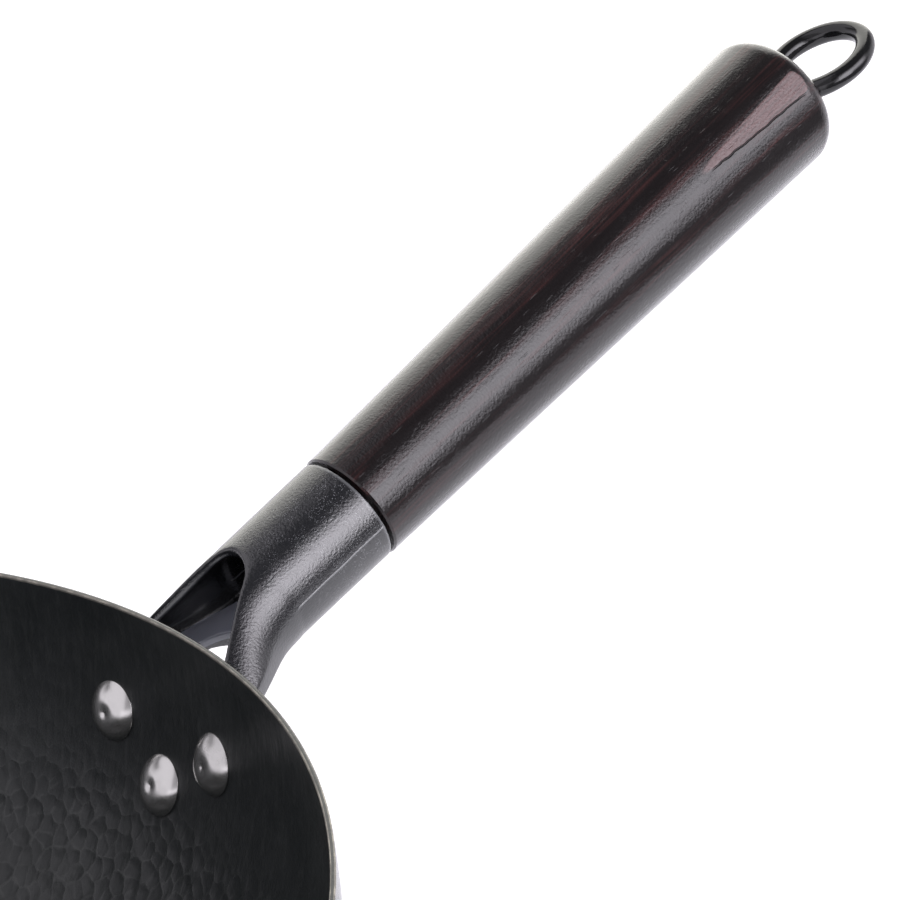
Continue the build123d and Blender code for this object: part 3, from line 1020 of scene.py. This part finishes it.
def hammer(piece, settings):
    """Presses the hammer marks into the bowl's mesh, where its material has them too."""
    tree = bpy.data.node_groups.new("Hammer Marks", "GeometryNodeTree")
    tree.interface.new_socket("Geometry", in_out="INPUT", socket_type="NodeSocketGeometry")
    tree.interface.new_socket("Geometry", in_out="OUTPUT", socket_type="NodeSocketGeometry")
    start, end = tree.nodes.new("NodeGroupInput"), tree.nodes.new("NodeGroupOutput")
    read = []
    for name, kind in (("unrolled", "FLOAT_VECTOR"), ("hammered", "FLOAT")):
        made = node(tree, "GeometryNodeInputNamedAttribute", {"Name": name}, data_type=kind)
        read.append(next(socket for socket in made.outputs if socket.enabled))
    unrolled, hammered = read
    below_ridge = calc(tree, "SUBTRACT", dent_rise(tree, unrolled, settings.dent_size), 1.0)
    press = times(tree, below_ridge, hammered, settings.dent_depth)
    outward = node(tree, "GeometryNodeInputNormal").outputs[0]
    offset = vectors(tree, "SCALE", {0: outward, "Scale": press})
    shift = {"Geometry": start.outputs[0], "Offset": offset}
    moved = node(tree, "GeometryNodeSetPosition", shift)
    feed(tree, end.inputs[0], moved.outputs[0])
    modifier = piece.modifiers.new("Hammer Marks", "NODES")
    modifier.node_group = tree
    apply_modifier(piece, modifier)


def dome_outline(settings):
    """The domed head's arc from its top to its straight edge."""
    middle = Vector(
        (DOME_RADIUS_SHARE * settings.head_radius, -DOME_HEIGHT_SHARE * settings.head_height)
    )
    top = Vector((0, -settings.head_height))
    edge = Vector((settings.head_radius, -settings.head_edge))
    span, first = middle - top, (middle.length_squared - top.length_squared) / 2
    reach, second = edge - top, (edge.length_squared - top.length_squared) / 2
    scale = span.x * reach.y - span.y * reach.x
    centre = Vector((first * reach.y - second * span.y, second * span.x - first * reach.x)) / scale
    start, end = top - centre, edge - centre
    start_turn, end_turn = math.atan2(start.y, start.x), math.atan2(end.y, end.x)
    return arc(centre, start.length, start_turn, end_turn, DOME_STEPS)


def rivet_outline(settings):
    """The rivet's half section: domed head, shank and set head."""
    dome = dome_outline(settings)
    head_radius, stack = settings.head_radius, settings.grip_stack
    set_end = stack + settings.set_head_height
    set_radius = settings.set_head_radius
    set_corner = rounded(
        (set_radius, stack),
        (set_radius, set_end),
        (0, set_end),
        settings.set_head_rounding,
        SET_HEAD_STEPS,
    )
    head_corner = rounded(
        dome[-2], dome[-1], (head_radius, 0), HEAD_CORNER, HEAD_CORNER_STEPS
    )
    shank = [
        Vector((head_radius, 0)),
        Vector((settings.shank_radius, 0)),
        Vector((settings.shank_radius, stack)),
        Vector((set_radius, stack)),
    ]
    return dome[:-1] + head_corner + shank + set_corner + [Vector((0, set_end))]


def lean_dome(piece, place, settings):
    """Makes a head a little higher on its lower side, as a hand-set rivet is."""
    to_rivet = place.inverted()
    for vertex in piece.data.vertices:
        point = to_rivet @ vertex.co
        if point.z < 0:
            point.z *= 1 + settings.dome_lean * point.x / settings.head_radius
            vertex.co = place @ point
    piece.data.update()


def grip_outline(settings):
    """The grip's half section: bore, tenon, tapered side, rounded end and the eye's seat."""
    end, start = settings.length, settings.joint_gap
    front = (settings.front_radius, start)
    corner = (settings.end_radius, end)
    seat_corner = (settings.seat_radius, end)
    slope = (settings.end_radius - settings.front_radius) / (end - start)
    chamfer = settings.front_chamfer
    rounding = rounded(front, corner, seat_corner, settings.end_rounding, GRIP_EDGE_STEPS)
    side_start = (settings.front_radius + slope * chamfer, start + chamfer)
    side = run(side_start, rounding[0], GRIP_SIDE_STEPS)[:-1]
    seat_floor = end - settings.seat_depth
    return (
        [
            Vector((settings.bore_radius, -settings.tenon_length)),
            Vector((settings.tenon_radius, -settings.tenon_length)),
            Vector((settings.tenon_radius, start)),
            Vector((settings.front_radius - chamfer, start)),
        ]
        + side
        + rounding
        + run(rounding[-1], seat_corner, GRIP_FACE_STEPS)[1:]
        + [
            Vector((settings.seat_radius, seat_floor)),
            Vector((settings.bore_radius, seat_floor)),
            Vector((settings.bore_radius, -settings.tenon_length)),
        ]
    )


def plane_the_flat(piece, settings):
    """Ripples the grip's side by hand, and planes a long flat on it near the end."""
    to_handle = HANDLE_PLACE.inverted()
    reach = settings.length - settings.facet_start
    taper = (settings.end_radius - settings.front_radius) / settings.length
    for vertex in piece.data.vertices:
        point = to_handle @ vertex.co
        radius = math.hypot(point.x, point.y)
        if radius < TENON_MARGIN * settings.tenon_radius or point.z < settings.joint_gap:
            continue
        out = Vector((point.x, point.y, 0)) / radius
        ripple = 0
        for across, along, weight in RIPPLES:
            wave = Vector((point.x * across, point.y * across, point.z * along))
            ripple += weight * noise.noise(wave)
        near_end = min(1, max(0, (point.z - settings.joint_gap) / RIPPLE_START))
        height = RIPPLE_MIDDLE + ripple
        point -= out * settings.ripple * near_end * height / RIPPLE_SPAN
        facing = Vector((-math.sin(settings.facet_side), math.cos(settings.facet_side), 0))
        past_start = point.z - settings.facet_start
        if past_start > 0:
            plane = settings.front_radius + taper * point.z
            plane -= settings.facet_depth * past_start / reach
            point -= facing * max(0, point.dot(facing) - plane)
        vertex.co = HANDLE_PLACE @ point
    piece.data.update()


# Operators


class WOK_OT_bowl(bpy.types.Operator):
    """Spin the bowl, drill it for the rivets and hammer its inside"""

    bl_idname = "wok.bowl"
    bl_label = "Bowl"

    def execute(self, context):
        settings = context.scene.wok_bowl
        rivets = context.scene.wok_rivets
        wall = WallShape(settings)
        outline = bowl_outline(wall, settings)
        piece = turned("hammered_bowl", outline, BOWL_STEPS, Matrix.Identity(4))
        drill(piece, rivet_places(wall, rivets), rivets.shank_radius + rivets.shank_clearance)
        mark_wall(piece, wall, settings)
        hammer(piece, settings)
        smooth_shaded(piece, TURNED_EDGE)
        hand_over(piece, seasoned_steel(settings), "bowl")
        return {"FINISHED"}


class WOK_OT_bracket(bpy.types.Operator):
    """Soften the bracket's edges and coat it black"""

    bl_idname = "wok.bracket"
    bl_label = "Bracket"

    def execute(self, context):
        settings = context.scene.wok_bracket
        piece = remeshed_copy(
            "bracket",
            "coated_bracket",
            voxel=settings.voxel,
            passes=8,
            kept_share=0.42,
            soft_top_passes=settings.soft_top_passes,
        )
        hand_over(piece, black_coat(settings), "bracket")
        return {"FINISHED"}


class WOK_OT_rivets(bpy.types.Operator):
    """Turn one rivet for each place on the wall"""

    bl_idname = "wok.rivets"
    bl_label = "Rivets"

    def execute(self, context):
        settings = context.scene.wok_rivets
        wall = WallShape(context.scene.wok_bowl)
        steel = polished_steel(settings)
        for name, place in rivet_places(wall, settings).items():
            piece = turned(f"domed_{name}", rivet_outline(settings), RIVET_STEPS, place)
            lean_dome(piece, place, settings)
            smooth_shaded(piece, TURNED_EDGE)
            hand_over(piece, steel, name)
        return {"FINISHED"}


class WOK_OT_grip(bpy.types.Operator):
    """Turn the wood grip, ripple it and plane its flat"""

    bl_idname = "wok.grip"
    bl_label = "Grip"

    def execute(self, context):
        settings = context.scene.wok_grip
        piece = turned("turned_grip", grip_outline(settings), GRIP_STEPS, HANDLE_PLACE)
        plane_the_flat(piece, settings)
        smooth_shaded(piece, TURNED_EDGE)
        hand_over(piece, charred_wood(settings), "grip")
        return {"FINISHED"}


class WOK_OT_eye(bpy.types.Operator):
    """Smooth the wire eye with its shank, and plate the nut that holds it"""

    bl_idname = "wok.eye"
    bl_label = "Eye and Nut"

    def execute(self, context):
        settings = context.scene.wok_eye
        piece = remeshed_copy(
            "eye_rod", "wire_eye", voxel=settings.voxel, passes=12, kept_share=0.6
        )
        hand_over(piece, black_enamel(settings), "eye_rod")
        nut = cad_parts["tie_nut"]
        nut.data.materials.clear()
        nut.data.materials.append(zinc_plate(settings))
        return {"FINISHED"}


def seen_directly(tree, *kinds):
    """1 for rays of any of the named kinds, and 0 for the others."""
    path = node(tree, "ShaderNodeLightPath")
    total = 0.0
    for kind in kinds:
        total = calc(tree, "MAXIMUM", total, path.outputs[kind])
    return total


def floor_paper(settings):
    """White paper that looks white where nothing shades it."""
    material, tree, shader = new_material("White Floor Paper")
    paper = {"Base Color": (*settings.floor_white, 1), "Roughness": 0.9, "Specular IOR Level": 0.0}
    feed_all(tree, shader, paper)
    mirrored = seen_directly(tree, "Is Glossy Ray")
    seen = seen_directly(tree, "Is Camera Ray", "Is Glossy Ray", "Is Transmission Ray")
    glow = {
        "Color": mix_colours(tree, mirrored, (1, 1, 1), COOL_WHITE),
        "Strength": times(tree, seen, FLOOR_GLOW),
    }
    glowing = node(tree, "ShaderNodeEmission", glow)
    both = node(tree, "ShaderNodeAddShader", {0: shader.outputs[0], 1: glowing.outputs[0]})
    feed(tree, tree.nodes["Material Output"].inputs["Surface"], both.outputs[0])
    return material


def lit_panel(tree, azimuth, elevation, sides, heights, edge):
    """1 inside a panel of the room given by its sides and heights in degrees, and 0 outside."""
    parts = []
    for value, (low, high) in ((azimuth, sides), (elevation, heights)):
        for limit, soft in ((low, edge), (high, -edge)):
            start, end = math.radians(limit - soft), math.radians(limit + soft)
            parts.append(ramp(tree, value, start, end))
    return times(tree, *parts)


def light_the_room(settings):
    """A white studio: bright low down, a tall window behind, a lit cloth above, a lamp in front."""
    world = bpy.data.worlds.new("Studio")
    bpy.context.scene.world = world
    world.use_nodes = True
    tree = world.node_tree
    generated = node(tree, "ShaderNodeTexCoord").outputs["Generated"]
    turn = {"Vector": generated, "Rotation": (0, 0, -ROOM_TURN)}
    east, north, up = parted(
        tree, node(tree, "ShaderNodeMapping", turn, vector_type="VECTOR").outputs[0]
    )
    azimuth = calc(tree, "ARCTAN2", north, east)
    elevation = calc(tree, "ARCSINE", up)
    light = ramp(tree, elevation, CEILING_START, CEILING_END, 1.0, settings.ceiling_strength)
    front = lit_panel(tree, azimuth, elevation, *FRONT_PANEL)
    dimmed = node(tree, "ShaderNodeMix", {0: front, 2: light, 3: settings.front_strength})
    window = lit_panel(tree, azimuth, elevation, *WINDOW_PANEL)
    lit_window = times(tree, window, settings.window_strength)
    light = calc(tree, "MAXIMUM", dimmed.outputs[0], lit_window)
    for *panel, setting, strength_share in BRIGHT_PANELS:
        strength = strength_share * getattr(settings, setting)
        lit = times(tree, lit_panel(tree, azimuth, elevation, *panel), strength)
        light = calc(tree, "MAXIMUM", light, lit)
    seen = seen_directly(tree, "Is Camera Ray", "Is Transmission Ray")
    strength = node(tree, "ShaderNodeMix", {0: seen, 2: light, 3: 1.0})
    tint = mix_colours(tree, window, tuple(settings.cool_light), tuple(settings.cream_light))
    tint = mix_colours(tree, seen, tint, (1, 1, 1))
    sky = {"Color": tint, "Strength": strength.outputs[0]}
    feed_all(tree, tree.nodes["Background"], sky)


class WOK_OT_stage(bpy.types.Operator):
    """Lay the white floor, light the room and place the camera"""

    bl_idname = "wok.stage"
    bl_label = "Stage"

    def execute(self, context):
        settings = context.scene.wok_stage
        deselect_everything()
        bpy.ops.mesh.primitive_circle_add(
            vertices=FLOOR_STEPS,
            radius=settings.floor_radius,
            fill_type="NGON",
            location=(FLOOR_SIDE, settings.floor_reach, 0),
        )
        floor = context.object
        floor.name = "floor"
        bpy.ops.object.transform_apply(location=True)
        floor.data.materials.append(floor_paper(settings))
        light_the_room(settings)
        lens = bpy.data.cameras.new("Camera")
        lens.lens = CAMERA_LENS
        lens.sensor_width = CAMERA_SENSOR
        lens.clip_start = CAMERA_NEAR
        camera = bpy.data.objects.new("Camera", lens)
        camera.location = CAMERA_PLACE
        camera.rotation_euler = [math.radians(turn) for turn in CAMERA_TURN_DEGREES]
        context.scene.collection.objects.link(camera)
        context.scene.camera = camera
        context.scene.view_settings.view_transform = "Standard"
        return {"FINISHED"}


class WOK_PT_sidebar(bpy.types.Panel):
    """Lists the wok's pieces and the stage"""

    bl_idname = "WOK_PT_sidebar"
    bl_label = "Wok"
    bl_space_type = "VIEW_3D"
    bl_region_type = "UI"
    bl_category = "Wok"

    def draw(self, context):
        for operator, settings_name, _ in PARTS:
            box = self.layout.box()
            box.operator(operator.bl_idname)
            settings = getattr(context.scene, settings_name)
            for key in settings.__annotations__:
                box.prop(settings, key)


PARTS = (
    (WOK_OT_bowl, "wok_bowl", WokBowlSettings),
    (WOK_OT_bracket, "wok_bracket", WokBracketSettings),
    (WOK_OT_rivets, "wok_rivets", WokRivetSettings),
    (WOK_OT_grip, "wok_grip", WokGripSettings),
    (WOK_OT_eye, "wok_eye", WokEyeSettings),
    (WOK_OT_stage, "wok_stage", WokStageSettings),
)


def register():
    for operator, settings_name, settings_class in PARTS:
        bpy.utils.register_class(settings_class)
        bpy.utils.register_class(operator)
        setattr(bpy.types.Scene, settings_name, PointerProperty(type=settings_class))
    bpy.utils.register_class(WOK_PT_sidebar)


def unregister():
    bpy.utils.unregister_class(WOK_PT_sidebar)
    for operator, settings_name, settings_class in reversed(PARTS):
        delattr(bpy.types.Scene, settings_name)
        bpy.utils.unregister_class(operator)
        bpy.utils.unregister_class(settings_class)


def main():
    register()
    bpy.ops.wok.bowl()
    bpy.ops.wok.bracket()
    bpy.ops.wok.rivets()
    bpy.ops.wok.grip()
    bpy.ops.wok.eye()
    bpy.ops.wok.stage()


if __name__ == "__main__":
    main()
